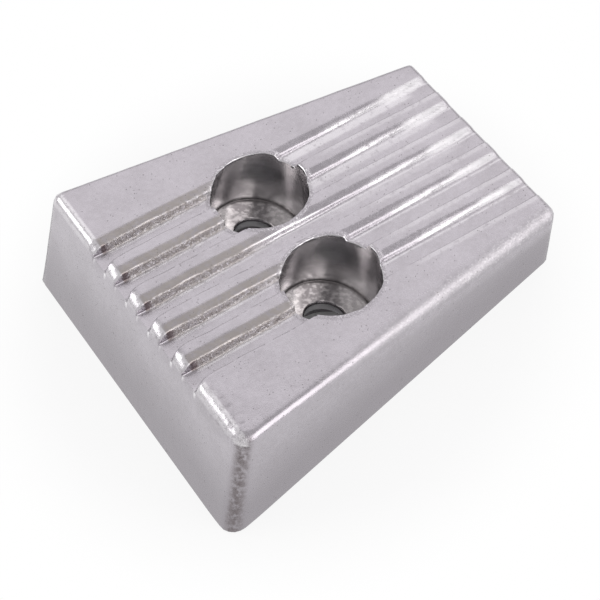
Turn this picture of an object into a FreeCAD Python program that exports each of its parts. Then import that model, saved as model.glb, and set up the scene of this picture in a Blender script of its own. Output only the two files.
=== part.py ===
import FreeCAD, Part
import math
import os

# Cast sacrificial anode: a wedge-shaped block with a tapered plan, run-out grooves
# along its top and two deep counterbored bolt holes side by side.
# Millimetres. The mounting face lies on Z = 0 and +Z points out of it.
# +X runs from the wide, tall end to the narrow, low end. The origin is on the
# mounting face, midway between the two bolt axes.

# Outline of the mounting face
base_length = 91.4
base_width_wide_end = 83.2
base_width_narrow_end = 55.6
bolts_to_wide_end = 40.5

# The bolts and the mould's draw lean together towards the narrow end
bolt_lean_deg = 19.0
wide_end_draft_deg = 3.1
narrow_end_draft_deg = 2.6
side_draft_deg = 4.4

# The top face falls towards the narrow end
top_fall_deg = 8.3
height_at_bolts = 20.5

# Rounding of the casting
wide_corner_radius = 2.2
narrow_corner_radius = 2.0
top_edge_radius = 1.5

# Bolt holes, all measured square to or along the leaning bolt axis
bolt_spacing = 28.0
bolt_hole_radius = 4.5
counterbore_radius = 10.5
seat_depth = 13.0
seat_thickness = 2.8
relief_radius = 8.0

# Grooves in the top face, deepest at the wide end. The back wall of each groove has a
# sloping shoulder above a steep flank, its front wall is steep and crisp all the way.
# Reaches are measured from the middle of the groove.
groove_count = 5
groove_pitch = 9.2
groove_depth_wide_end = 2.75
groove_depth_narrow_end = 0.55
shoulder_reach = 4.1
shoulder_width = 2.05
shoulder_drop_wide_end = 0.5
shoulder_drop_narrow_end = 0.22
back_foot_reach = 1.5
front_reach = 2.5
front_wall_run_wide_end = 0.45
front_wall_run_narrow_end = 0.15
groove_foot_radius = 0.4
mouth_flare = 1.1
mouth_length = 5.0

# Helpers of the modelling only: how far cutters reach past what they cut
overshoot = 5.0
shoulder_lift = 0.03
mouth_steps = 4

lean = math.radians(bolt_lean_deg)
fall = math.radians(top_fall_deg)
draw = FreeCAD.Vector(math.sin(lean), 0, math.cos(lean))
along = FreeCAD.Vector(math.cos(fall), 0, -math.sin(fall))
across = FreeCAD.Vector(0, 1, 0)
land_normal = FreeCAD.Vector(math.sin(fall), 0, math.cos(fall))
up = FreeCAD.Vector(0, 0, 1)
wide_x = -bolts_to_wide_end
narrow_x = base_length - bolts_to_wide_end
land_centre = draw * (height_at_bolts / math.cos(lean))


def wall_normal(edge, outward, draft_deg):
    """Normal of a wall that stands on a base edge and tapers in along the draw."""
    square = edge.cross(draw).normalize()
    if square.dot(outward) < 0:
        square = -square
    draft = math.radians(draft_deg)
    direction = draw * math.cos(draft) - square * math.sin(draft)
    normal = edge.cross(direction).normalize()
    return normal if normal.dot(outward) > 0 else -normal


def meet(*planes):
    """The point that three planes share; each plane is a point and a normal."""
    (p1, n1), (p2, n2), (p3, n3) = planes
    total = n2.cross(n3) * p1.dot(n1)
    total += n3.cross(n1) * p2.dot(n2)
    total += n1.cross(n2) * p3.dot(n3)
    return total / n1.dot(n2.cross(n3))


def block_planes():
    """The mounting face, the top land and the four drafted walls."""
    wide_back = FreeCAD.Vector(wide_x, base_width_wide_end / 2, 0)
    narrow_back = FreeCAD.Vector(narrow_x, base_width_narrow_end / 2, 0)
    wide_front = FreeCAD.Vector(wide_x, -base_width_wide_end / 2, 0)
    narrow_front = FreeCAD.Vector(narrow_x, -base_width_narrow_end / 2, 0)
    wide_normal = wall_normal(across, FreeCAD.Vector(-1, 0, 0), wide_end_draft_deg)
    narrow_normal = wall_normal(across, FreeCAD.Vector(1, 0, 0), narrow_end_draft_deg)
    back_normal = wall_normal(narrow_back - wide_back, across, side_draft_deg)
    front_normal = wall_normal(narrow_front - wide_front, -across, side_draft_deg)
    return {
        "base": (FreeCAD.Vector(0, 0, 0), -up),
        "top": (land_centre, land_normal),
        "wide": (wide_back, wide_normal),
        "narrow": (narrow_back, narrow_normal),
        "back": (wide_back, back_normal),
        "front": (wide_front, front_normal),
    }


def sharp_block(planes):
    """The drafted wedge with sharp edges, and its four upright edges by wall."""
    ring = [("wide", "back"), ("wide", "front"), ("narrow", "front"), ("narrow", "back")]
    low = [meet(planes[a], planes[b], planes["base"]) for a, b in ring]
    high = [meet(planes[a], planes[b], planes["top"]) for a, b in ring]
    outlines = [low[::-1], high]
    for i in range(4):
        j = (i + 1) % 4
        outlines.append([low[i], low[j], high[j], high[i]])
    faces = [Part.Face(Part.makePolygon(points + points[:1])) for points in outlines]
    solid = Part.Solid(Part.Shell(faces))
    uprights = {"wide": [], "narrow": []}
    for end_and_side, bottom, top in zip(ring, low, high):
        uprights[end_and_side[0]].append((bottom, top))
    return solid, uprights


def joins(edge, pair):
    """Whether an edge runs between two given points."""
    ends = [vertex.Point for vertex in edge.Vertexes]
    return len(ends) == 2 and all(min(end.distanceToPoint(p) for p in pair) < 1e-4 for end in ends)


def rounded_block():
    """The wedge with its upright corners and its top rim rounded, base rim sharp."""
    solid, uprights = sharp_block(block_planes())
    for end, radius in (("wide", wide_corner_radius), ("narrow", narrow_corner_radius)):
        edges = [e for e in solid.Edges if any(joins(e, pair) for pair in uprights[end])]
        solid = solid.makeFillet(radius, edges)
    rim = [e for e in solid.Edges
           if all(abs((v.Point - land_centre).dot(land_normal)) < 1e-4 for v in e.Vertexes)]
    return solid.makeFillet(top_edge_radius, rim)


def on_land(u, v, height):
    """A point at u along the fall, v across, and a height above the land."""
    return land_centre + along * u + across * v + land_normal * height


def foot_round(top, foot):
    """Start, middle and end of the round where a groove wall meets the floor."""
    wall = (top - foot).normalize()
    inward = FreeCAD.Vector(-math.copysign(1, wall.x), 0, 0)
    setback = groove_foot_radius * math.tan(wall.getAngle(-inward) / 2)
    on_floor = foot + inward * setback
    centre = on_floor + FreeCAD.Vector(0, groove_foot_radius, 0)
    middle = centre + (foot - centre).normalize() * groove_foot_radius
    return foot + wall * setback, middle, on_floor


def groove_section(u, centre_v, depth, shoulder_drop, front_wall_run, flare):
    """One cross-section of a groove cutter: back wall, flat floor, front wall and lid."""
    lift_run = shoulder_lift * shoulder_width / shoulder_drop
    shoulder_top = FreeCAD.Vector(shoulder_reach + lift_run, shoulder_lift, 0)
    shoulder_end = FreeCAD.Vector(shoulder_reach - shoulder_width, -shoulder_drop, 0)
    back_foot = FreeCAD.Vector(back_foot_reach, -depth, 0)
    front_top = FreeCAD.Vector(-front_reach - flare, 0, 0)
    front_foot = FreeCAD.Vector(front_wall_run - front_reach - flare, -depth, 0)
    lid_back = FreeCAD.Vector(shoulder_top.x, overshoot, 0)
    lid_front = FreeCAD.Vector(front_top.x, overshoot, 0)
    back_round = foot_round(shoulder_end, back_foot)
    front_round = foot_round(front_top, front_foot)

    def placed(flat):
        return on_land(u, centre_v + flat.x, flat.y)

    def line(start, end):
        return Part.makeLine(placed(start), placed(end))

    def arc(points):
        return Part.Arc(*[placed(flat) for flat in points]).toShape()

    return Part.Wire([
        line(lid_back, shoulder_top),
        line(shoulder_top, shoulder_end),
        line(shoulder_end, back_round[0]),
        arc(back_round),
        line(back_round[2], front_round[2]),
        arc(front_round[::-1]),
        line(front_round[0], front_top),
        line(front_top, lid_front),
        line(lid_front, lid_back),
    ])


def land_reach(planes, end):
    """How far along the fall the top land reaches at one end."""
    corner = meet(planes["top"], planes[end], planes["back"])
    return (corner - land_centre).dot(along)


def groove_cutter(centre_v, wide_u, narrow_u):
    """A groove that gets shallower along its run and flares to the front at its mouth."""

    def section(u, flare):
        share = (u - wide_u) / (narrow_u - wide_u)

        def graded(wide_end, narrow_end):
            return wide_end + share * (narrow_end - wide_end)

        depth = graded(groove_depth_wide_end, groove_depth_narrow_end)
        drop = graded(shoulder_drop_wide_end, shoulder_drop_narrow_end)
        run = graded(front_wall_run_wide_end, front_wall_run_narrow_end)
        return groove_section(u, centre_v, depth, drop, run, flare)

    flare_end = wide_u + mouth_length
    straight = Part.makeLoft([section(flare_end, 0), section(narrow_u + overshoot, 0)], True, True)
    mouth = []
    for step in range(mouth_steps + 1):
        turn = math.pi / 2 * step / mouth_steps
        u = flare_end - mouth_length * math.sin(turn)
        mouth.append(section(u, mouth_flare * (1 - math.cos(turn))))
    mouth.append(section(wide_u - overshoot, mouth_flare))
    return straight.fuse(Part.makeLoft(mouth, True, True))


def bolt_cutters(v):
    """Counterbore, bolt hole and underside relief on one leaning bolt axis."""
    foot = FreeCAD.Vector(0, v, 0)
    land = foot + land_centre
    seat = land - draw * seat_depth
    reach = overshoot + counterbore_radius * math.tan(lean + fall)
    underside = seat - draw * seat_thickness
    relief_length = (underside - foot).dot(draw) + overshoot + relief_radius * math.tan(lean)
    return [
        Part.makeCylinder(counterbore_radius, seat_depth + reach, seat, draw),
        Part.makeCylinder(bolt_hole_radius, seat_thickness + 2, underside - draw, draw),
        Part.makeCylinder(relief_radius, relief_length, underside, -draw),
    ]


def anode_block():
    planes = block_planes()
    solid = rounded_block()
    wide_u = land_reach(planes, "wide")
    narrow_u = land_reach(planes, "narrow")
    for index in range(groove_count):
        centre_v = (index - (groove_count - 1) / 2) * groove_pitch
        solid = solid.cut(groove_cutter(centre_v, wide_u, narrow_u))
    for side in (-1, 1):
        for cutter in bolt_cutters(side * bolt_spacing / 2):
            solid = solid.cut(cutter)
    return solid.removeSplitter()


block = anode_block()
os.makedirs("parts", exist_ok=True)
block.exportStep("parts/anode_block.step")
print("solids", len(block.Solids), "valid", block.isValid(), "volume", round(block.Volume, 1))
print("box", block.BoundBox)
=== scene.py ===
import math
from types import SimpleNamespace

import bmesh
import bpy
import numpy as np
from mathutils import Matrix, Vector, noise
from mathutils.geometry import delaunay_2d_cdt


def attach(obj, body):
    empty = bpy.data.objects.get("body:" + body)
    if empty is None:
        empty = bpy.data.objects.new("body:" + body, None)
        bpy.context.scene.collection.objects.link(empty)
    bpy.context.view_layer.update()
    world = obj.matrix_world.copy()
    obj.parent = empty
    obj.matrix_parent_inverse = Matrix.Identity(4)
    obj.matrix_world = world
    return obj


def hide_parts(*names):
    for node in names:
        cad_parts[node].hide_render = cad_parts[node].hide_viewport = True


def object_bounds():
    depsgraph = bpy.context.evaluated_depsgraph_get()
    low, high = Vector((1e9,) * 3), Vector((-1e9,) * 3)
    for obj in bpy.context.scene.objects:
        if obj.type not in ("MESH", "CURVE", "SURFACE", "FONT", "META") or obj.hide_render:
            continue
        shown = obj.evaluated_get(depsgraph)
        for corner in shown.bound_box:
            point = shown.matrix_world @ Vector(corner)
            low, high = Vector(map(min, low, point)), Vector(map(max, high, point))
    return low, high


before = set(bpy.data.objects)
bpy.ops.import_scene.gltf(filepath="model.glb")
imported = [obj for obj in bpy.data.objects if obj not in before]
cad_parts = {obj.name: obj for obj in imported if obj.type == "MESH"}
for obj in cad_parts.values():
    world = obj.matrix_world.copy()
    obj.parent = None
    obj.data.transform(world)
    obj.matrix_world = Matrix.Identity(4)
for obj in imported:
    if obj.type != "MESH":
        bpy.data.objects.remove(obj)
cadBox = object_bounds()
print("frame loaded")

# All sizes of the casting are millimetres and degrees, in the CAD frame:
# the mounting face lies on z = 0 and +x runs from the wide end to the narrow end
anode = {
    "baseLength": 91.4,
    "baseWidthWideEnd": 83.2,
    "baseWidthNarrowEnd": 55.6,
    "boltsToWideEnd": 40.5,
    "boltLean": 19.0,
    "wideEndDraft": 3.1,
    "narrowEndDraft": 2.6,
    "sideDraft": 4.4,
    "topFall": 8.3,
    "heightAtBolts": 20.5,
    "cornerRadius": {"backWide": 1.9, "frontWide": 3.9, "frontNarrow": 1.5, "backNarrow": 1.2},
    "rimRadius": {"wide": 1.5, "narrow": 1.6, "front": 2.6, "back": 1.5},
    "rimBlend": 0.8,  # how softly the rim of one wall turns into that of the next
    "frontRimWideEnd": 1.8,  # the front rim gets tighter towards the wide end
    "frontRimTightens": (20, -30),  # along the fall, from and to
    "noseRadius": 2.3,  # the rib ends at the wide end are rounder than the rim beside them
    "noseSide": 2.0,  # width over which that fades out beside the outer grooves
    "grooveRimRadius": 0.3,
    "grooveRimDepth": (0.5, 2.2),  # groove depths between which the rim gets that sharp
    "baseEdgeRadius": 0.3,
    "wornCornerBaseRadius": 0.7,  # the front wide corner is rounded at the bottom too
    "wornCornerReach": 5.0,
}

# Pairs hold the value at the wide end and at the narrow end
grooves = {
    "pitch": 9.2,
    "outermost": 2,  # grooves lie at -2 ... 2 pitches from the middle
    "depth": (2.75, 0.55),
    "shoulderReach": (4.2, 3.5),  # from the groove's middle to where its back wall starts
    "shoulderEnd": (2.2, 2.5),
    "shoulderDrop": (0.5, 0.95),
    "startRound": (1.0, 3.2),  # rounding radii of the back wall, top to bottom
    "edgeRound": (0.7, 0.35),
    "shapeRun": (0.36, 0.97),  # shares of the length between which the shoulder turns into a round
    "backFoot": (2.04, 2.25),
    "footLine": (1.9, 1.05),  # where a thin painted highlight runs along the foot
    "footBand": (1.3, 1.9),  # a faintly sloping band at the foot of the back wall
    "footRise": 0.05,
    "footRound": 0.6,
    "bandRound": 6.0,
    "frontReach": 2.5,
    "frontRun": (0.45, 0.15),
    "frontEdge": (0.3, 0.08),
    "runOut": (42.0, 47.0, 0.6),  # towards the narrow end: from, to and share of depth lost
    "mouthFlare": 1.1,
    "mouthLength": 5.0,
    "wander": 0.07,  # how far the edges stray from a straight line
    "wanderEnds": (25, -10),  # along the fall, from and to
}

bolts = {
    "spacing": 28.0,
    "holeRadius": 4.5,
    "boreRadius": 10.5,
    "seatDepth": 13.0,
    "seatThickness": 2.8,
    "reliefRadius": 8.0,
    "seatCornerRadius": 0.35,
    "holeChamfer": 0.3,
    "mouthRound": 0.1,  # the edge of a bore's mouth is broken by this much
    "tearWidth": 0.24,  # and torn outwards here and there
    "tearDepth": 1.5,  # depth of a tear as a multiple of its width
    "tears": ((1.0, 3), (0.9, 11)),  # strength and number of the coarse and the fine ones
    "gritBeside": 0.3,  # the middle of the gritty line round a mouth lies this far outside it
    "gritBelow": 2.5,  # and the line ends this far below the land
    "stainAndSheenTowards": (0.83, -0.54),  # direction in plan in which the seat's tone changes
}

# How finely the skin is meshed
meshing = {
    "inset": 3.4,  # where the rounded rim and walls take over from the top
    "insetCorner": 0.8,
    "cornerPoints": 10,
    "alongStep": 0.42,
    "wallStepSides": 0.55,
    "landRow": 0.46,
    "rowGap": 0.15,  # the least distance between a row and a corner of the inset loop
    "loopGap": 0.18,  # between a point of the top and that loop
    "mouthGap": 0.15,  # between a point of the top and the mouth of a bore
    # rows across one groove: from, to and spacing, measured from its middle
    "rows": ((-4.6, -2.75, 0.38), (-2.75, -2.0, 0.1), (-2.0, 0.5, 0.42), (0.5, 1.5, 0.2),
             (1.5, 2.6, 0.1), (2.6, 4.2, 0.24), (4.2, 4.6, 0.4)),
    "rimTurns": (90, 80, 72, 65, 59, 54, 50, 46, 42, 38, 34, 30, 26, 22.5, 19.5, 17, 15, 13.2,
                 11.9, 10.9, 10.2, 9.6, 9.0, 8.2, 7.2, 6, 4.5, 2.5, 0),
    "wallRows": 15,
    "wallRowsEnd": 1.92,  # the height at which closer rings take over
    "lowestRings": (1.2, 0.8, 0.5, 0.3, 0.15, 0.05, 0.002),
    "roundBore": 168,
    "boreRows": 16,
    "seatRings": 10,
    "profileStep": 0.02,
    "profileStations": 14,
    "rayStart": 5.0,  # rays to the top start this far under the land
    "rayReach": 14.0,
    "rayHalvings": 22,
    "weld": 0.002,
    "leastArea": 0.0003,  # leaves out the slivers along the straight sides
    "sharpAngle": 45,
}

lean = math.radians(anode["boltLean"])
fall = math.radians(anode["topFall"])
up = np.array([0.0, 0.0, 1.0])
drawDir = np.array([math.sin(lean), 0.0, math.cos(lean)])
planDir = np.array([math.cos(lean), 0.0, -math.sin(lean)])
acrossDir = np.array([0.0, 1.0, 0.0])
fallDir = np.array([math.cos(fall), 0.0, -math.sin(fall)])
landNormal = np.array([math.sin(fall), 0.0, math.cos(fall)])
landCentre = drawDir * anode["heightAtBolts"] / math.cos(lean)


def unit(vectors):
    return vectors / np.linalg.norm(vectors, axis=-1, keepdims=True)


def mix(first, second, share):
    return first + (second - first) * share


def smooth(low, high, values):
    share = np.clip((values - low) / (high - low), 0, 1)
    return share * share * (3 - 2 * share)


def drawPoint(plan, across, height):  # plan x, plan y and height along the leaning draw
    plan, across, height = np.broadcast_arrays(plan, across, height)
    return plan[..., None] * planDir + across[..., None] * acrossDir + height[..., None] * drawDir


def wallPlane(start, end, outward, draft):
    edge = np.subtract(end, start)
    square = unit(np.cross(edge, drawDir))
    square = square * np.sign(square @ outward)
    slope = drawDir * math.cos(math.radians(draft)) - square * math.sin(math.radians(draft))
    normal = unit(np.cross(edge, slope))
    return np.array(start), normal * np.sign(normal @ outward)


def findWalls():
    wideX = -anode["boltsToWideEnd"]
    narrowX = anode["baseLength"] - anode["boltsToWideEnd"]
    wideY, narrowY = anode["baseWidthWideEnd"] / 2, anode["baseWidthNarrowEnd"] / 2
    backWide, frontWide = (wideX, wideY, 0.0), (wideX, -wideY, 0.0)
    backNarrow, frontNarrow = (narrowX, narrowY, 0.0), (narrowX, -narrowY, 0.0)
    return {
        "wide": wallPlane(backWide, frontWide, (-1, 0, 0), anode["wideEndDraft"]),
        "narrow": wallPlane(backNarrow, frontNarrow, (1, 0, 0), anode["narrowEndDraft"]),
        "front": wallPlane(frontWide, frontNarrow, (0, -1, 0), anode["sideDraft"]),
        "back": wallPlane(backWide, backNarrow, (0, 1, 0), anode["sideDraft"]),
    }


walls = findWalls()
cornerWalls = {
    "backWide": ("wide", "back"),
    "frontWide": ("wide", "front"),
    "frontNarrow": ("narrow", "front"),
    "backNarrow": ("narrow", "back"),
}


def meetPoint(*planes):
    points = np.array([plane[0] for plane in planes])
    normals = np.array([plane[1] for plane in planes])
    return np.linalg.solve(normals, (points * normals).sum(axis=1))


landCorners = {
    name: meetPoint(walls[pair[0]], walls[pair[1]], (landCentre, landNormal))
    for name, pair in cornerWalls.items()
}
wornCorner = np.array([-anode["boltsToWideEnd"], -anode["baseWidthWideEnd"] / 2, 0.0])
wideReach = (landCorners["backWide"] - landCentre) @ fallDir
narrowReach = (landCorners["backNarrow"] - landCentre) @ fallDir
grooveField = grooves["outermost"] * grooves["pitch"] + grooves["pitch"] / 2


def roundMax(first, second, radius):
    both = np.hypot(np.maximum(first + radius, 0), np.maximum(second + radius, 0)) - radius
    return np.where((first > -radius) & (second > -radius), both, np.maximum(first, second))


def roundedLine(corners, radii):  # a bent line with its corners rounded, as close points
    line = [np.array(corners[0])]
    for before, corner, after, radius in zip(corners, corners[1:], corners[2:], radii):
        before, corner, after = np.array(before), np.array(corner), np.array(after)
        back, ahead = unit(before - corner), unit(after - corner)
        half = math.acos(np.clip(back @ ahead, -1, 1)) / 2
        room = 0.49 * min(np.linalg.norm(before - corner), np.linalg.norm(after - corner))
        setback = min(radius / math.tan(half), room)
        for t in np.linspace(0, 1, 9):
            bend = (1 - t) ** 2 * back + t ** 2 * ahead
            line.append(corner + bend * setback)
    line.append(np.array(corners[-1]))
    return np.array(line)


def grooveProfiles():
    half = grooves["pitch"] / 2
    grid = np.arange(-half - 0.1, half + 0.1, meshing["profileStep"])
    rows = []
    for share in np.linspace(0, 1, meshing["profileStations"]):
        shape = np.interp(share, grooves["shapeRun"], (0, 1))

        def graded(name, part=share):
            return mix(*grooves[name], part)

        depth = graded("depth")
        start, end = graded("shoulderReach", shape), graded("shoulderEnd", shape)
        drop = min(graded("shoulderDrop", shape), depth - 0.15)
        foot = min(graded("backFoot"), end - 0.02)
        front = grooves["frontReach"]
        corners = [
            (half + 1, 0.0),
            (start, 0.0),
            (end, drop),
            (foot, depth - grooves["footRise"]),
            (foot - graded("footBand"), depth),
            (graded("frontRun") - front, depth),
            (-front, 0.0),
            (-half - 1, 0.0),
        ]
        radii = [graded("startRound", shape), graded("edgeRound", shape), grooves["footRound"],
                 grooves["bandRound"], grooves["footRound"], graded("frontEdge")]
        line = roundedLine(corners, radii)[::-1]
        rows.append(np.interp(grid, line[:, 0], line[:, 1]))
    return grid, np.array(rows)


profileGrid, profileRows = grooveProfiles()


def mouthFlare(along):
    near = np.clip((wideReach + grooves["mouthLength"] - along) / grooves["mouthLength"], 0, 1)
    return grooves["mouthFlare"] * (1 - np.sqrt(1 - near ** 2))


def grooveCentre(across):
    most = grooves["outermost"]
    return np.clip(np.round(across / grooves["pitch"]), -most, most) * grooves["pitch"]


# Where a row that runs straight along the groove goes once its front wall flares out
def flaredRow(row, along):
    centre, front, half = grooveCentre(row), grooves["frontReach"], grooves["pitch"] / 2
    local, flare = row - centre, mouthFlare(along)
    inside = local * (front + flare) / front
    beyond = -half + (local + half) * (half - front - flare) / (half - front)
    moved = np.where(local < -front, beyond, np.where(local < 0, inside, local))
    return np.where(np.abs(row) < grooveField, centre + moved, row)


def grooveDepth(along, across):
    centre = grooveCentre(across)
    stray = np.sin(along * 0.31 + centre) + 0.6 * np.sin(along * 0.83 + centre * 2)
    stray = stray * smooth(*grooves["wanderEnds"], along)
    local = across - centre + grooves["wander"] * stray
    flare, front = mouthFlare(along), grooves["frontReach"]
    local = np.where(local < 0, np.maximum(local * front / (front + flare), -front - 1), local)
    share = np.clip((along - wideReach) / (narrowReach - wideReach), 0, 1)
    row = share * (len(profileRows) - 1)
    low = np.clip(row.astype(int), 0, len(profileRows) - 2)
    column = (local - profileGrid[0]) / meshing["profileStep"]
    column = np.clip(column, 0, len(profileGrid) - 1.001)
    left = column.astype(int)
    part, blend = column - left, row - low
    first = mix(profileRows[low, left], profileRows[low, left + 1], part)
    second = mix(profileRows[low + 1, left], profileRows[low + 1, left + 1], part)
    start, end, loss = grooves["runOut"]
    return mix(first, second, blend) * (1 - loss * smooth(start, end, along))


# Above zero outside the bare casting, below zero inside it; the bores come later
def outside(points):
    away = {name: (points - start) @ normal for name, (start, normal) in walls.items()}
    sides = np.full(len(points), -1e6)
    for name, (first, second) in cornerWalls.items():
        rounded = roundMax(away[first], away[second], anode["cornerRadius"][name])
        sides = np.maximum(sides, rounded)
    fromLand = points - landCentre
    depth = grooveDepth(fromLand @ fallDir, points[:, 1])
    top = fromLand @ landNormal + depth
    onRib = smooth(grooveField, grooveField - anode["noseSide"], np.abs(points[:, 1]))
    tight = smooth(*anode["frontRimTightens"], fromLand @ fallDir)
    radii = dict(anode["rimRadius"])
    radii["wide"] = mix(radii["wide"], anode["noseRadius"], onRib)
    radii["front"] = mix(radii["front"], anode["frontRimWideEnd"], tight)
    weights = {name: np.exp(np.clip(away[name] / anode["rimBlend"], -30, 5)) for name in away}
    rim = sum(weights[name] * radii[name] for name in away) / sum(weights.values())
    rim = mix(rim, anode["grooveRimRadius"], smooth(*anode["grooveRimDepth"], depth))
    fromCorner = np.linalg.norm(points - wornCorner, axis=1)
    worn = np.exp(-(fromCorner / anode["wornCornerReach"]) ** 2)
    baseEdge = anode["baseEdgeRadius"] + anode["wornCornerBaseRadius"] * worn
    return roundMax(roundMax(top, sides, rim), -points[:, 2], baseEdge)


def castRays(starts, directions):  # where rays from inside the casting come out
    low, high = np.zeros(len(starts)), np.full(len(starts), meshing["rayReach"])
    for _ in range(meshing["rayHalvings"]):
        middle = (low + high) / 2
        beyond = outside(starts + directions * middle[:, None]) > 0
        low, high = np.where(beyond, low, middle), np.where(beyond, middle, high)
    return starts + directions * high[:, None]


def landHeight(plan):  # height of the ungrooved land along the draw
    slope = -(planDir @ landNormal) / (drawDir @ landNormal)
    return (landCentre @ landNormal) / (drawDir @ landNormal) + slope * plan


def landAlong(plan):  # how far along the fall the land lies over a place in plan
    return (drawPoint(plan, 0 * plan, landHeight(plan)) - landCentre) @ fallDir


def castTop(plan, across):  # points of the top over places in plan
    start = drawPoint(plan, across, landHeight(plan) - meshing["rayStart"])
    return castRays(start, np.tile(drawDir, (len(start), 1)))


# Rows that run along the block, close together on the groove walls
def acrossRows(limit):
    pitch, most = grooves["pitch"], grooves["outermost"]
    local = []
    for low, high, step in meshing["rows"]:
        local += list(np.linspace(low, high, math.ceil((high - low) / step - 1e-6) + 1)[:-1])
    rows = [index * pitch + offset for index in range(-most, most + 1) for offset in local]
    outer = list(np.arange(grooveField, limit, meshing["landRow"]))
    return sorted(rows + outer + [-row for row in outer if row > grooveField])


# The loop on the land, inset from its edge, from which the rim and the walls fan out
def insetLoop(rows):
    plan = [np.array([corner @ planDir, corner @ acrossDir]) for corner in landCorners.values()]
    inset, radius, gap = meshing["inset"], meshing["insetCorner"], meshing["rowGap"]
    normals = []
    for i in range(4):
        direction = unit(plan[(i + 1) % 4] - plan[i])
        normal = np.array([direction[1], -direction[0]])
        normals.append(normal * np.sign(normal @ (plan[i] - np.mean(plan, axis=0))))
    centres = []
    for i in range(4):
        before, after = normals[i - 1], normals[i]
        value = [before @ plan[i] - inset - radius, after @ plan[i] - inset - radius]
        centres.append(np.linalg.solve(np.array([before, after]), value))
    points, directions = [], []
    for i in range(4):
        before, after = normals[i - 1], normals[i]
        turn = math.acos(np.clip(before @ after, -1, 1))
        for share in (np.arange(meshing["cornerPoints"]) + 0.5) / meshing["cornerPoints"]:
            mixed = unit(math.sin((1 - share) * turn) * before + math.sin(share * turn) * after)
            points.append(centres[i] + mixed * radius)
            directions.append(mixed)
        start = centres[i] + after * radius
        end = centres[(i + 1) % 4] + after * radius
        if i in (0, 2):  # the wide and the narrow end take up the rows
            low, high = sorted((start[1], end[1]))
            inner = [row for row in rows if low + gap < row < high - gap]
            inner = np.array(inner[::-1] if start[1] > end[1] else inner)
            here = landAlong(np.array([start[0]]))[0]
            placed = flaredRow(inner, here)
            lateral = flaredRow(inner, wideReach) - placed if i == 0 else 0 * inner
            points += [start] + [np.array([start[0], y]) for y in placed] + [end]
            directions.append(after)
            directions += [unit(after * inset + np.array([0, shift])) for shift in lateral]
            directions.append(after)
        else:
            count = math.ceil(np.linalg.norm(end - start) / meshing["wallStepSides"])
            points += [start + (end - start) * k / count for k in range(count + 1)]
            directions += [after] * (count + 1)
    return np.array(points), np.array(directions)


class Shell:  # gathers the points and faces of one closed skin
    def __init__(self):
        self.points, self.faces, self.kinds = [], [], []
        self.count = 0

    def addPoints(self, points):
        points = np.asarray(points, dtype=float)
        first = self.count
        self.points.append(points.reshape(-1, 3))
        self.count += len(points.reshape(-1, 3))
        return np.arange(first, self.count).reshape(points.shape[:-1])

    def addFaces(self, faces, kind):
        self.faces += faces
        self.kinds += [kind] * len(faces)

    def addGrid(self, ids, kind):  # rows of closed loops
        ahead = np.roll(ids, -1, axis=1)
        for low in range(len(ids) - 1):
            quads = np.stack([ids[low], ahead[low], ahead[low + 1], ids[low + 1]], axis=1)
            self.addFaces(quads.tolist(), kind)


castSkin, turnedMetal = 0, 1  # the places of the two materials


def inLoop(points, loop):
    x, y = points[:, 0], points[:, 1]
    inside = np.zeros(len(points), dtype=bool)
    for (x1, y1), (x2, y2) in zip(loop, np.roll(loop, -1, axis=0)):
        if y1 == y2:
            continue
        crosses = (y1 > y) != (y2 > y)
        inside ^= crosses & (x < (x2 - x1) * (y - y1) / (y2 - y1) + x1)
    return inside


def fillFlat(outline, holes, loose):  # triangles between an outline, holes and loose points
    loops = [outline] + holes
    points = np.concatenate(loops + ([loose] if len(loose) else []))
    edges, first = [], 0
    for loop in loops:
        ring = range(len(loop))
        edges += [(first + k, first + (k + 1) % len(loop)) for k in ring]
        first += len(loop)
    result = delaunay_2d_cdt([Vector(p) for p in points], edges, [], 0, 1e-7)
    flat = np.array([tuple(p) for p in result[0]])
    triangles = np.array(result[2])
    middle = flat[triangles].mean(axis=1)
    sides = flat[triangles[:, 1:]] - flat[triangles[:, :1]]
    area = np.abs(sides[:, 0, 0] * sides[:, 1, 1] - sides[:, 0, 1] * sides[:, 1, 0]) / 2
    keep = inLoop(middle, outline) & (area > meshing["leastArea"])
    for hole in holes:
        keep &= ~inLoop(middle, hole)
    return flat, triangles[keep]


boreTurns = np.arange(meshing["roundBore"]) * 2 * math.pi / meshing["roundBore"]


def circle(radius, centre):  # with one radius, or one for each turn
    return centre[0] + radius * np.cos(boreTurns), centre[1] + radius * np.sin(boreTurns)


def mouthTears(centre):  # how far the cutter tore out the edge of a bore, all round
    torn = np.zeros(len(boreTurns))
    for strength, count in bolts["tears"]:
        places = np.column_stack([count * np.cos(boreTurns), count * np.sin(boreTurns)])
        torn += [strength * noise.noise(Vector((x, y, 3.7 + centre[1]))) for x, y in places]
    return bolts["tearWidth"] * np.maximum(torn, 0)


def mouthPoints(centre):
    return circle(bolts["boreRadius"] + bolts["mouthRound"] + mouthTears(centre), centre)


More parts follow.
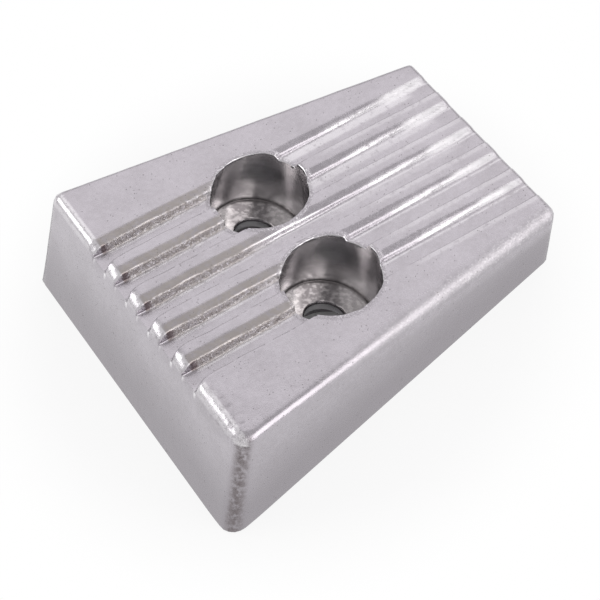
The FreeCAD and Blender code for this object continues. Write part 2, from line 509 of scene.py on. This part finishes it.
def buildTop(shell, rows, loop, boreCentres):
    rims = [np.stack(mouthPoints(centre), axis=1) for centre in boreCentres]
    loose = []
    low, high = loop[:, 0].min(), loop[:, 0].max()
    step = meshing["alongStep"]
    for index, row in enumerate(rows):
        plan = np.arange(low + step * (0.5 if index % 2 else 1), high, step)
        lateral = flaredRow(np.full(len(plan), row), landAlong(plan))
        loose.append(np.stack([plan, lateral], axis=1))
    loose = np.concatenate(loose)
    keep = inLoop(loose, loop)
    clearOfMouth = bolts["boreRadius"] + bolts["mouthRound"] + bolts["tearWidth"] + meshing["mouthGap"]
    for centre in boreCentres:
        keep &= np.hypot(loose[:, 0] - centre[0], loose[:, 1] - centre[1]) > clearOfMouth
    loose = loose[keep]
    near = np.zeros(len(loose), dtype=bool)
    for start, end in zip(loop, np.roll(loop, -1, axis=0)):
        edge = end - start
        share = np.clip((loose - start) @ edge / max(edge @ edge, 1e-12), 0, 1)
        fromEdge = np.linalg.norm(loose - start - share[:, None] * edge, axis=1)
        near |= fromEdge < meshing["loopGap"]
    flat, triangles = fillFlat(loop, rims, loose[~near])
    ids = shell.addPoints(castTop(flat[:, 0], flat[:, 1]))
    shell.addFaces(ids[triangles].tolist(), castSkin)
    print("top made,", len(triangles), "triangles")


def buildWalls(shell, loop, directions):
    inset = meshing["inset"]
    outward = directions[:, :1] * planDir + directions[:, 1:] * acrossDir
    centre = drawPoint(loop[:, 0], loop[:, 1], landHeight(loop[:, 0]) - inset)
    rings = []
    for degrees in meshing["rimTurns"]:
        turn = math.radians(degrees)
        rings.append(castRays(centre, outward * math.cos(turn) + drawDir * math.sin(turn)))
    foot = centre - drawDir * (centre[:, 2:] / drawDir[2])
    level = unit(outward * [1, 1, 0])
    for share in np.linspace(0, 1, meshing["wallRows"] + 1)[1:-1]:
        start = mix(centre, foot + up * meshing["wallRowsEnd"], share)
        rings.append(castRays(start, unit(mix(outward, level, share))))
    for height in meshing["lowestRings"]:
        rings.append(castRays(foot + up * height, level))
    rings = np.array(rings)
    rings[-1][:, 2] = 0
    ids = shell.addPoints(rings)
    shell.addGrid(ids, castSkin)
    print("walls made,", 2 * ids.size, "triangles")
    return rings[-1][:, :2]


# The rings of a bore, from its mouth down to the mounting face
def buildBore(shell, centre):
    seat = landCentre @ drawDir - bolts["seatDepth"]
    under = seat - bolts["seatThickness"]
    radius, corner = bolts["boreRadius"], bolts["seatCornerRadius"]
    hole, chamfer, relief = bolts["holeRadius"], bolts["holeChamfer"], bolts["reliefRadius"]

    def ring(size, height):
        return drawPoint(*circle(size, centre), height)

    mouth = castTop(*mouthPoints(centre))
    wallTop = mouth @ drawDir - bolts["mouthRound"] - mouthTears(centre) * bolts["tearDepth"]
    rings = [mouth, ring(radius, wallTop)]
    for share in np.linspace(0, 1, meshing["boreRows"] + 1)[1:]:
        rings.append(ring(radius, mix(wallTop, seat + corner, share)))
    for angle in np.radians((30, 60, 90)):
        size = radius - corner * (1 - math.cos(angle))
        rings.append(ring(size, seat + corner * (1 - math.sin(angle))))
    for size in np.linspace(radius - corner, hole + chamfer, meshing["seatRings"])[1:]:
        rings.append(ring(size, seat))
    for share in np.linspace(0, 1, 4):
        rings.append(ring(hole, mix(seat - chamfer, under + chamfer, share)))
    rings.append(ring(hole + chamfer, under))
    turned = len(rings)
    for size in np.linspace(hole + chamfer, relief, 4)[1:]:
        rings.append(ring(size, under))
    floorHeight = circle(relief, centre)[0] * math.tan(lean)
    for share in np.linspace(0, 1, 5)[1:]:
        rings.append(ring(relief, mix(under, floorHeight, share)))
    rings = np.array(rings)
    rings[-1][:, 2] = 0
    ids = shell.addPoints(rings)
    shell.addGrid(ids[:turned], turnedMetal)
    shell.addGrid(ids[turned - 1:], castSkin)
    return rings[-1][:, :2]


def buildBase(shell, outline, holes):
    flat, triangles = fillFlat(outline, holes, [])
    ids = shell.addPoints(np.column_stack([flat, np.zeros(len(flat))]))
    shell.addFaces(ids[triangles].tolist(), castSkin)


def fractal(points, scale, seed, octaves=3):
    offset = Vector((seed * 17.3, seed * 5.1, seed * 9.7))
    return np.array([noise.fractal(Vector(p) * scale + offset, 1.0, 2.0, octaves) for p in points])


# Unevenness of the cast skin: depths in millimetres, scales per millimetre
castSurface = {
    "waves": (0.055, 0.13),
    "dents": (0.022, 0.55),
    "grit": (0.10, 1.5),
    "cornerPits": (0.55, 0.75),
    "rimPits": (0.45, 0.8),
    "frontRimPits": (0.16, 0.9),
}

# Where wear, painted highlights and painted shade lie, in millimetres: none up to the first number and
# full from the second; where there are four, full up to the third and none from the fourth
wearAndLightPlaces = {
    # along the fall, from above the bolts
    "wideHalf": (10, 0),
    "gritWideHalf": (-2, -14),
    "gritStops": (44, 40),
    "frontRimPitted": (4, 26),
    "frontRimWorn": (-30, 26),
    "frontRimHighlightRun": (-25, 20),
    "patches": (34, 38, 45.5, 47.5),
    "footBandRun": (6, 12, 40, 44),
    "ridgeGrows": (-34, -16),
    # along the fall, from the wide end
    "clearOfEnd": (2.0, 3.5),
    "oliveStarts": (1.4, 1.9),
    "spotRun": (1.5, 1.9, 2.4, 4.2),
    "noseTip": (2.4, 1.6),
    "noseShine": (-1.0, 0.3, 1.5, 1.8),
    # across a groove, from its middle to the back
    "gritStrip": (1.6, 1.9, 2.15, 2.5),
    "backWall": (1.4, 1.7, 3.6, 4.4),
    "spotStrip": (1.5, 1.8, 2.3, 2.6),
    "noseStrip": (1.6, 2.2),
    "patchStarts": (0, 0.5),
    "patchEnds": (3.8, 3.2),
    "floorStrip": (-3.8, -3.4, 1.6, 1.9),
    "footBandStrip": (-0.6, 0.2, 1.7, 2.0),
    "ridgeStrip": (1.9, 2.05, 2.4, 2.8),
    "besideFloor": (1.6, 1.9),
    # across the whole block
    "wideRimPitted": (-22, -30),
    "wideRimWorn": (-22, -24),
    # below the land
    "topOnly": (3.6, 3.1),
    "spotDepth": (0.3, 0.8, 2.5, 2.85),
    "noseDepth": (3.0, 2.0),
    "noseShineDepth": (2.6, 2.0),
    "floorRimDepth": (2.4, 2.6, 2.95, 3.05),
    "lowStarts": (3, 6),
    # above the mounting face
    # lowFills and lowStarts place the painted shade low on the walls
    "lowFills": (21, 4),
    # away from a rim, a corner, a line or a bore
    "wideRim": (4.5, 0.5),
    "frontRim": (3.75, 1.25),
    "frontRimLine": (2.4, 1.1),
    "narrowRimLine": (1.0, 0.4),
    "floorRimLine": (0.3, 0.15),
    "footLine": (0.3, 0.1),
    "corner": (3.4, 1.5),
    "mouth": (0.9, 0.2),
    "seat": (0.5, 0.2),
    "jointShade": (0.55, 0.2),
    # across a seat, in the direction in which its stain and painted reflection change
    "seatLightHere": (-4.5, -7.0),
    "seatLightThere": (2.0, 5.0),
}

# Painted highlights in strips along each groove: strength, place across it and place along the fall
highlightStrips = (
    (0.6, (1.8, 2.0, 2.2, 2.4), (10, 0)),  # the top of the flank
    (0.75, (0.7, 1.1, 1.7, 1.95), (2, -24)),  # the floor next to the flank
    (0.8, (2.0, 2.2, 2.7, 3.1), (18, 25, 42, 44)),  # the shoulder in the narrow half
    (0.25, (-4.1, -3.4, -2.8, -2.1), (12, 22)),  # the rib beside the front wall
)


def fade(places, values):
    share = smooth(places[0], places[1], values)
    if len(places) == 4:
        share = share * smooth(places[3], places[2], values)
    return share


def within(name, values):
    return fade(wearAndLightPlaces[name], values)


def measure(points):  # how the points lie to the land, the grooves, the walls and the bores
    fromLand = points - landCentre
    at = SimpleNamespace(across=points[:, 1], height=points[:, 2])
    at.along = fromLand @ fallDir
    at.past = at.along - wideReach
    at.share = np.clip(at.past / (narrowReach - wideReach), 0, 1)
    at.below = -(fromLand @ landNormal)
    at.under = np.maximum(at.below, 0)
    at.local = at.across - grooveCentre(at.across)
    # The marks that go with the grooves stay on the top and don't run down the end walls
    onTop = within("topOnly", at.below + 2.0 * at.share)
    at.inField = smooth(grooveField + 0.5, grooveField - 0.5, np.abs(at.across)) * onTop
    at.toWall = {name: np.abs((points - start) @ normal) for name, (start, normal) in walls.items()}
    upright = unit(landCorners["frontWide"] - wornCorner)
    cornerLine = wornCorner + upright * ((points - wornCorner) @ upright)[:, None]
    at.fromCorner = np.linalg.norm(points - cornerLine, axis=1)
    plan = points @ planDir
    fromMiddle = at.across - np.where(at.across < 0, -0.5, 0.5) * bolts["spacing"]
    at.fromAxis = np.hypot(plan, fromMiddle)
    at.overSeat = fromLand @ drawDir + bolts["seatDepth"]
    at.acrossSeat = plan * bolts["stainAndSheenTowards"][0] + fromMiddle * bolts["stainAndSheenTowards"][1]
    return at


def paintedHighlightPlaces(at):  # painted highlights: lighter colour where the flanks, feet, rims and rib ends catch the light
    clearOfEnd, wideHalf = within("clearOfEnd", at.past), within("wideHalf", at.along)
    onFloor = within("floorStrip", at.local) * at.inField
    fromFoot = np.abs(at.local - mix(*grooves["footLine"], at.share))
    besideFloor = np.where(at.inField > 0.5, np.abs(at.local), grooves["pitch"])
    marks = [at.inField * clearOfEnd * strength * fade(strip, at.local) * fade(run, at.along)
             for strength, strip, run in highlightStrips]
    marks += [
        at.inField * within("footBandStrip", at.local) * within("footBandRun", at.along)
        * np.clip(0.15 + at.across / 60, 0, 0.5),
        at.inField * within("ridgeStrip", at.local) * wideHalf * clearOfEnd
        * (0.4 + 0.6 * within("ridgeGrows", at.along)),
        0.5 * at.inField * within("footLine", fromFoot) * clearOfEnd,
        0.8 * within("narrowRimLine", at.toWall["narrow"] + at.under * 0.4),
        0.75 * within("noseShine", at.past) * within("noseShineDepth", at.below)
        * within("besideFloor", besideFloor) * (1 - onFloor),
        within("floorRimLine", at.toWall["wide"]) * within("floorRimDepth", at.below) * onFloor,
    ]
    return np.maximum.reduce(marks)


# How much of each kind of wear, painted highlight and painted shade every point has, as shares from 0
# to 1
def findWearAndLight(points):
    at = measure(points)
    wideGrit, clearOfEnd = within("gritWideHalf", at.along), within("clearOfEnd", at.past)
    frontRim = within("frontRim", at.toWall["front"] + at.under)
    wideRim = within("wideRim", at.toWall["wide"] + at.under * 0.6)
    nose = within("noseTip", at.past) * within("noseDepth", at.below)
    nose *= within("noseStrip", at.local) * at.inField
    gritty = within("gritStrip", at.local) * at.inField * (0.3 + 0.7 * wideGrit)
    gritty *= clearOfEnd * within("gritStops", at.along)
    besideMouth = np.abs(at.fromAxis - bolts["boreRadius"] - bolts["gritBeside"])
    byMouth = besideMouth + np.maximum(at.below - bolts["gritBelow"], 0)
    patchFrom = 0.9 + np.clip(0.5 - at.across / 30, 0, 0.9)  # the patches are wider at the back
    patches = within("patchStarts", at.local - patchFrom) * within("patchEnds", at.local)
    patches *= at.inField * within("patches", at.along)
    frontRimHighlight = within("frontRimLine", at.toWall["front"] + at.under)
    shadeSpot = within("spotStrip", at.local) * within("spotRun", at.past)
    fromJoint = np.hypot(at.fromAxis - bolts["boreRadius"], at.overSeat)
    return {
        "grit": np.maximum(gritty, 0.7 * within("mouth", byMouth)),
        # oliveShade is painted shade on the back walls of the grooves in the wide half
        "oliveShade": within("backWall", at.local) * at.inField * wideGrit * within("oliveStarts", at.past),
        # shadeSpot is painted shade on the flank behind each rib end
        "shadeSpot": shadeSpot * within("spotDepth", at.below) * at.inField,
        # corner: real pitted wear in the shape, and painted shade in the colour
        "corner": within("corner", at.fromCorner),
        "wideRim": wideRim * within("wideRimPitted", at.across),
        "frontRim": frontRim * within("frontRimPitted", at.along),
        "worn": np.maximum.reduce([frontRim * within("frontRimWorn", at.along), 0.2 * nose,
                                   0.6 * wideRim * within("wideRimWorn", at.across)]),
        # low is painted shade, darker towards the mounting face
        "low": within("lowFills", at.height) * within("lowStarts", at.below),
        # paintedSheen is painted highlight: light patches at the narrow end and a line along the front
        # rim
        "paintedSheen": np.maximum(patches, 0.4 * frontRimHighlight * within("frontRimHighlightRun", at.along)),
        # paintedHighlight: lighter colour painted where grooves, rims and rib ends catch the light
        "paintedHighlight": paintedHighlightPlaces(at),
        # stainAndSheen: lighter on both sides of a seat, partly a real tan stain and partly painted
        # reflection
        "stainAndSheen": (within("seatLightHere", at.acrossSeat)
                  + 0.7 * within("seatLightThere", at.acrossSeat)),
        "seat": within("seat", np.abs(at.overSeat)),
        # jointShade is painted shade in the crease between wall and seat
        "jointShade": within("jointShade", fromJoint),
    }


# The kinds of wear, painted highlight and painted shade that the materials read
paintedWearAndLight = ("grit", "oliveShade", "shadeSpot", "corner", "low", "paintedSheen", "paintedHighlight", "worn", "seat",
               "stainAndSheen", "jointShade")


# The turned bores and the mounting face stay true
def roughen(points, normals, castPoint, wearAndLight):
    mouth = bolts["boreRadius"] + bolts["mouthRound"]
    clear = smooth(mouth, mouth + 0.8, measure(points).fromAxis)
    clear = clear * castPoint * smooth(0.0, 0.9, points[:, 2])

    def uneven(name, seed, octaves=2):
        depth, scale = castSurface[name]
        return depth * fractal(points, scale, seed, octaves)

    def pits(name, seed, threshold):
        depth, scale = castSurface[name]
        return -depth * np.maximum(fractal(points, scale, seed, 3) - threshold, 0)

    shift = uneven("waves", 1) + uneven("dents", 2)
    shift += wearAndLight["grit"] * uneven("grit", 3, 3)
    shift += wearAndLight["corner"] * pits("cornerPits", 4, 0.0)
    shift += wearAndLight["wideRim"] * pits("rimPits", 5, 0.1)
    shift += wearAndLight["frontRim"] * pits("frontRimPits", 6, 0.0)
    moved = points + normals * (shift * clear)[:, None]
    low, high = np.array(cadBox[0]) * 1000, np.array(cadBox[1]) * 1000
    return np.clip(moved, low, high)


def makeCasting():
    shell = Shell()
    boreCentres = [(0.0, side * bolts["spacing"] / 2) for side in (-1, 1)]
    rows = acrossRows(anode["baseWidthWideEnd"] / 2)
    loop, directions = insetLoop(rows)
    buildTop(shell, rows, loop, boreCentres)
    outline = buildWalls(shell, loop, directions)
    holes = [buildBore(shell, centre) for centre in boreCentres]
    buildBase(shell, outline, holes)

    mesh = bpy.data.meshes.new("anode_casting")
    mesh.from_pydata(np.concatenate(shell.points).tolist(), [], shell.faces)
    mesh.polygons.foreach_set("material_index", shell.kinds)
    work = bmesh.new()
    work.from_mesh(mesh)
    bmesh.ops.remove_doubles(work, verts=work.verts, dist=meshing["weld"])
    bmesh.ops.recalc_face_normals(work, faces=work.faces)
    openEdges = sum(1 for edge in work.edges if not edge.is_manifold)
    castPoint = [float(all(face.material_index == castSkin for face in vert.link_faces))
                 for vert in work.verts]
    work.to_mesh(mesh)
    work.free()

    points, normals = np.zeros(len(mesh.vertices) * 3), np.zeros(len(mesh.vertices) * 3)
    mesh.vertices.foreach_get("co", points)
    mesh.vertex_normals.foreach_get("vector", normals)
    points, normals = points.reshape(-1, 3), normals.reshape(-1, 3)
    wearAndLight = findWearAndLight(points)
    points = roughen(points, normals, np.array(castPoint), wearAndLight)
    mesh.vertices.foreach_set("co", (points / 1000).ravel())
    for name in paintedWearAndLight:
        mesh.attributes.new(name, "FLOAT", "POINT").data.foreach_set("value", wearAndLight[name])
    mesh.polygons.foreach_set("use_smooth", [True] * len(mesh.polygons))
    mesh.set_sharp_from_angle(angle=math.radians(meshing["sharpAngle"]))
    casting = bpy.data.objects.new("anode_casting", mesh)
    bpy.context.scene.collection.objects.link(casting)
    triangles = sum(len(p.vertices) - 2 for p in mesh.polygons)
    print("casting made,", triangles, "triangles,", openEdges, "open edges")
    return casting


casting = makeCasting()


# One class wraps a socket, so that shader maths reads as plain expressions
class Strand:
    def __init__(self, tree, socket=None):
        self.tree, self.socket = tree, socket

    def make(self, kind, settings=None, sockets=None, output=0):
        node = self.tree.nodes.new(kind)
        for name, value in (settings or {}).items():
            setattr(node, name, value)
        for name, value in (sockets or {}).items():
            if isinstance(value, Strand):
                self.tree.links.new(value.socket, node.inputs[name])
            else:
                node.inputs[name].default_value = value
        return Strand(self.tree, node.outputs[output] if node.outputs else None)

    def maths(self, operation, first, second):
        return self.make("ShaderNodeMath", {"operation": operation}, {0: first, 1: second})

    def __add__(self, other):
        return self.maths("ADD", self, other)

    __radd__ = __add__

    def __mul__(self, other):
        return self.maths("MULTIPLY", self, other)

    __rmul__ = __mul__

    def __sub__(self, other):
        return self.maths("SUBTRACT", self, other)

    def __rsub__(self, other):
        return self.maths("SUBTRACT", other, self)

    def between(self, low, high):
        return self.make("ShaderNodeMapRange", {"interpolation_type": "SMOOTHSTEP"},
                         {"Value": self, "From Min": low, "From Max": high})

    def blend(self, first, second):  # two colours, mixed by this value
        return self.make("ShaderNodeMix", {"data_type": "RGBA"}, {0: self, 6: first, 7: second}, 2)

    def scaled(self, factor):
        return self.make("ShaderNodeVectorMath", {"operation": "SCALE"}, {0: self, 3: factor})

    def stretched(self, sizes):
        return self.make("ShaderNodeVectorMath", {"operation": "MULTIPLY"}, {0: self, 1: sizes})

    def turned(self, angles):
        return self.make("ShaderNodeMapping", {}, {"Vector": self, "Rotation": angles})

    def grain(self, scale, detail=3.0, roughness=0.5):
        return self.make("ShaderNodeTexNoise", {}, {
            "Vector": self, "Scale": scale, "Detail": detail, "Roughness": roughness})

    def cells(self, scale):
        return self.make("ShaderNodeTexVoronoi", {}, {"Vector": self, "Scale": scale})

    def attribute(self, name):
        return self.make("ShaderNodeAttribute", {"attribute_name": name}, output=2)


# Grains are per millimetre
castFinish = {
    "colour": (0.525, 0.497, 0.532, 1),
    "dullColour": (0.435, 0.41, 0.437, 1),
    "pitColour": (0.09, 0.078, 0.075, 1),
    # painted shade: the back walls of the grooves, darker with a brownish tone
    "oliveShadeColour": (0.45, 0.415, 0.40, 1),
    # painted shade at the worn front wide corner, which also has real pits
    "cornerShadeColour": (0.19, 0.165, 0.17, 1),
    # painted shade: the walls darker towards the mounting face
    "lowShadeColour": (0.335, 0.314, 0.336, 1),
    # painted shade: a dark spot on the flank behind each rib end
    "shadeSpotColour": (0.27, 0.225, 0.225, 1),
    # the colour of the painted highlights and painted glints
    "highlightColour": (0.88, 0.86, 0.88, 1),
    "cloudGrain": 0.11,
    "patchGrain": 0.35,
    "mottleGrain": 0.9,
    "fleckGrain": 1.15,
    "sparkGrain": 2.1,
    "fineGrain": 3.2,
    "castLines": (0.16, 3.4, 1.0),  # grains along and across the grooves
    "scratches": (0.35, 5.5, 1.0),
    "scratchTurn": 0.65,
    "roughness": 0.18,
    "bumpStrength": 0.5,
    "bumpHeight": 0.00006,
}

turnedFinish = {
    "colour": (0.76, 0.745, 0.765, 1),
    "markColour": (0.63, 0.62, 0.63, 1),
    # painted shade: the seats of the bores dark, though turned like the walls
    "seatShadeColour": (0.21, 0.197, 0.197, 1),
    # a real tan stain on one side of a seat, and painted reflection lighter on both sides
    "seatStainAndSheen": (0.86, 0.83, 0.81, 1),
    # painted shade: a dark line in the crease where a bore's wall meets its seat
    "jointShadeColour": (0.12, 0.11, 0.11, 1),
    "cloudGrain": 0.3,
    "blotchGrain": 0.9,
    "fineGrain": 3.0,
    "rings": (0.05, 0.05, 2.6),  # grains across and along the bore
    "toolMarks": (0.1, 0.1, 13.0),
    "roughness": 0.13,
    "bumpStrength": 0.4,
    "bumpHeight": 0.00004,
}


def newMaterial(name):
    material = bpy.data.materials.new(name)
    material.use_nodes = True
    material.node_tree.nodes.clear()
    return material, Strand(material.node_tree)


def objectPlace(net):  # object coordinates, in millimetres
    return net.make("ShaderNodeTexCoord", output=3).scaled(1000.0)


def finishMetal(net, finish, colour, metallic, roughness, height):
    bump = net.make("ShaderNodeBump", {}, {
        "Strength": finish["bumpStrength"], "Distance": finish["bumpHeight"], "Height": height})
    shader = net.make("ShaderNodeBsdfPrincipled", {}, {
        "Base Color": colour, "Metallic": metallic, "Roughness": roughness, "Normal": bump})
    net.make("ShaderNodeOutputMaterial", {}, {"Surface": shader})


def castMaterial():
    material, net = newMaterial("cast_zinc_skin")
    finish = castFinish
    place = objectPlace(net)
    run = place.turned((0, -fall, 0))  # now x lies along the grooves
    cloud = place.grain(finish["cloudGrain"], 3.0)
    mottle = place.grain(finish["mottleGrain"], 3.0)
    fine = place.grain(finish["fineGrain"], 3.0, 0.6)
    patches = place.grain(finish["patchGrain"], 2.0)
    lines = run.stretched(finish["castLines"]).grain(1.0, 3.0)
    turnedRun = run.turned((0, 0, finish["scratchTurn"]))
    scratches = turnedRun.stretched(finish["scratches"]).grain(1.0, 2.0)
    flecks = place.cells(finish["fleckGrain"])

    grit, oliveShade, shadeSpot = net.attribute("grit"), net.attribute("oliveShade"), net.attribute("shadeSpot")
    corner, paintedSheen, low = net.attribute("corner"), net.attribute("paintedSheen"), net.attribute("low")
    paintedHighlight, worn = net.attribute("paintedHighlight"), net.attribute("worn")

    shade = cloud * 0.35 + mottle * 0.3 + fine * 0.35
    colour = shade.between(0.32, 0.66).blend(finish["dullColour"], finish["colour"])
    # painted shade, darker towards the mounting face
    colour = (low * 0.9).blend(colour, finish["lowShadeColour"])
    # painted shade, blotchy, at the worn front wide corner
    colour = (corner * mottle.between(0.25, 0.6)).blend(colour, finish["cornerShadeColour"])
    # painted highlight, streaked by the scratches
    colour = (paintedSheen * scratches.between(0.15, 0.45)).blend(colour, finish["highlightColour"])
    # painted highlights
    colour = (paintedHighlight * mottle.between(0.2, 0.5)).blend(colour, finish["highlightColour"])
    # painted shade on the back walls of the grooves
    colour = (oliveShade * mottle.between(0.15, 0.6)).blend(colour, finish["oliveShadeColour"])
    # painted shade behind each rib end
    shadeSpot = shadeSpot * (0.55 + mottle * 0.8)
    colour = shadeSpot.between(0.2, 0.8).blend(colour, finish["shadeSpotColour"])
    pits = (1 - flecks.between(0.10, 0.19)) * patches.between(0.47, 0.6)
    crust = fine.between(0.52, 0.64) * (grit * 0.45 + corner * 0.4 + worn * 0.2)
    dark = net.maths("MAXIMUM", pits * 0.5, crust)
    colour = dark.blend(colour, finish["pitColour"])
    # painted glints: specks of highlight colour on the grit and the worn places
    paintedGlints = place.grain(finish["sparkGrain"], 3.0, 0.65).between(0.54, 0.64)
    colour = (paintedGlints * (grit + worn * 0.5)).blend(colour, finish["highlightColour"])

    height = fine * 0.9 + mottle * 0.5 + lines * 0.45 + scratches * (paintedSheen * 1.5 + 0.15)
    height = height - pits * 0.8 + fine * (grit * 7.0 + corner * 4.0 + worn * 2.5)
    rough = finish["roughness"] + fine * 0.1 + mottle * 0.06
    rough = rough + paintedSheen * 0.12 + oliveShade * 0.06 + worn * 0.16
    finishMetal(net, finish, colour, 1 - grit * 0.35, rough, height)
    return material


def turnedMaterial():
    material, net = newMaterial("turned_zinc")
    finish = turnedFinish
    place = objectPlace(net)
    upBore = place.turned((0, -lean, 0))  # now z lies along the bolts
    rings = upBore.stretched(finish["rings"]).grain(1.0, 3.0)
    toolMarks = upBore.stretched(finish["toolMarks"]).grain(1.0, 2.0)
    cloud = place.grain(finish["cloudGrain"], 2.0)
    fine = place.grain(finish["fineGrain"], 2.0)
    blotches = place.grain(finish["blotchGrain"], 3.0)
    seat, stainAndSheen, jointShade = net.attribute("seat"), net.attribute("stainAndSheen"), net.attribute("jointShade")
    shade = rings.between(0.35, 0.65) * 0.4 + cloud.between(0.35, 0.65) * 0.6
    wall = shade.blend(finish["markColour"], finish["colour"])
    # a real stain and painted reflection lighten the dark seat on two sides
    stainAndSheenShare = blotches.between(0.42, 0.66) * 0.3 + stainAndSheen * 0.75
    # the seat is painted dark as shade and lighter where stainAndSheen is high
    floor = stainAndSheenShare.blend(finish["seatShadeColour"], finish["seatStainAndSheen"])
    # painted shade in the crease between wall and seat
    colour = jointShade.blend(seat.blend(wall, floor), finish["jointShadeColour"])
    height = rings * 0.4 + toolMarks * (1 - seat) * 0.8 + fine * 0.25
    finishMetal(net, finish, colour, 1.0, finish["roughness"] + cloud * 0.08, height)
    return material


casting.data.materials.append(castMaterial())
casting.data.materials.append(turnedMaterial())
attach(casting, "root")
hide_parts("anode_block")
print("materials made")


studio = {
    "floorSize": 4.0,
    "floorDrop": 0.00005,  # the floor lies a hair under the mounting face
    "floorColour": (0.82, 0.82, 0.82, 1),
    "whiteNear": 0.85,  # share of plain white in the floor close to the casting
    "whiteFar": (0.05, 0.075),  # metres from the middle between which it turns all white
    "whiteUnderHoles": 0.06,  # and the share of it under the bolt holes, out to these metres
    "underHoles": (0.02, 0.035),
    "worldColour": (0.62, 0.61, 0.62, 1),
    "worldStrength": 1.0,
    "lampsAimAt": 0.018,  # height on the casting, in metres
}


def makeFloor():
    half = studio["floorSize"] / 2
    mesh = bpy.data.meshes.new("studio_floor")
    corners = [(-half, -half), (half, -half), (half, half), (-half, half)]
    mesh.from_pydata([(x, y, -studio["floorDrop"]) for x, y in corners], [], [(0, 1, 2, 3)])
    floor = bpy.data.objects.new("studio_floor", mesh)
    bpy.context.scene.collection.objects.link(floor)
    material, net = newMaterial("studio_floor")
    paint = net.make("ShaderNodeBsdfDiffuse", {}, {"Color": studio["floorColour"]})
    white = net.make("ShaderNodeEmission", {}, {"Color": (1, 1, 1, 1), "Strength": 1.0})
    camera, glossy, through = [net.make("ShaderNodeLightPath", output=ray)
                               for ray in ("Is Camera Ray", "Is Glossy Ray", "Is Transmission Ray")]
    place = net.make("ShaderNodeTexCoord", output=3)
    away = net.make("ShaderNodeVectorMath", {"operation": "LENGTH"}, {0: place}, 1)
    near, dark = studio["whiteNear"], studio["whiteUnderHoles"]
    share = away.between(*studio["whiteFar"]) * (1 - near) + near
    share = share * (away.between(*studio["underHoles"]) * (1 - dark) + dark)
    seen = net.maths("MAXIMUM", net.maths("MAXIMUM", camera, glossy), through) * share
    lit = net.make("ShaderNodeMixShader", {}, {0: seen, 1: paint, 2: white})
    back = net.make("ShaderNodeNewGeometry", output=6)  # the floor's back is clear, to look from below
    clear = net.make("ShaderNodeBsdfTransparent")
    both = net.make("ShaderNodeMixShader", {}, {0: back, 1: lit, 2: clear})
    net.make("ShaderNodeOutputMaterial", {}, {"Surface": both})
    mesh.materials.append(material)


def makeWorld():
    world = bpy.data.worlds.new("studio_world")
    world.use_nodes = True
    background = world.node_tree.nodes["Background"]
    background.inputs["Color"].default_value = studio["worldColour"]
    background.inputs["Strength"].default_value = studio["worldStrength"]
    bpy.context.scene.world = world


# Each lamp: direction seen from the casting, distance, width, height (metres), radiance, colour
lamps = {
    "back_softbox": ((0.44, 0.62, 0.64), 0.7, 0.8, 0.56, 0.54, (1, 0.99, 1)),
    "front_softbox": ((0.38, -0.78, 0.50), 0.7, 0.6, 0.58, 1.65, (1, 0.98, 0.98)),
    "left_softbox": ((-0.63, 0.53, 0.57), 0.7, 0.4, 0.25, 2.4, (1, 1, 1)),
    "right_softbox": ((0.83, 0.05, 0.58), 0.7, 0.3, 0.3, 1.2, (1, 1, 1)),
}


def makeLamps():
    target = Vector(((cadBox[0][0] + cadBox[1][0]) / 2, 0, studio["lampsAimAt"]))
    for name, (toward, distance, width, height, radiance, colour) in lamps.items():
        data = bpy.data.lights.new(name, "AREA")
        data.shape = "RECTANGLE"
        data.size, data.size_y = width, height
        data.energy = radiance * math.pi * width * height
        data.color = colour
        lamp = bpy.data.objects.new(name, data)
        direction = Vector(toward).normalized()
        lamp.location = target + direction * distance
        lamp.rotation_euler = direction.to_track_quat("Z", "Y").to_euler()
        bpy.context.scene.collection.objects.link(lamp)


view = {
    "place": (-0.069535, -0.21532, 0.334147),
    "turn": (32.766, 9.6467, -33.2972),  # degrees
    "lens": 110.73,
    "sensor": 36.0,
    "clipStart": 0.01,
}


def makeCamera():
    data = bpy.data.cameras.new("camera")
    data.lens, data.sensor_width = view["lens"], view["sensor"]
    data.clip_start = view["clipStart"]
    camera = bpy.data.objects.new("camera", data)
    camera.location = view["place"]
    camera.rotation_euler = [math.radians(angle) for angle in view["turn"]]
    bpy.context.scene.collection.objects.link(camera)
    bpy.context.scene.camera = camera


makeFloor()
makeWorld()
makeLamps()
makeCamera()
bpy.context.scene.view_settings.view_transform = "Standard"
print("studio made")
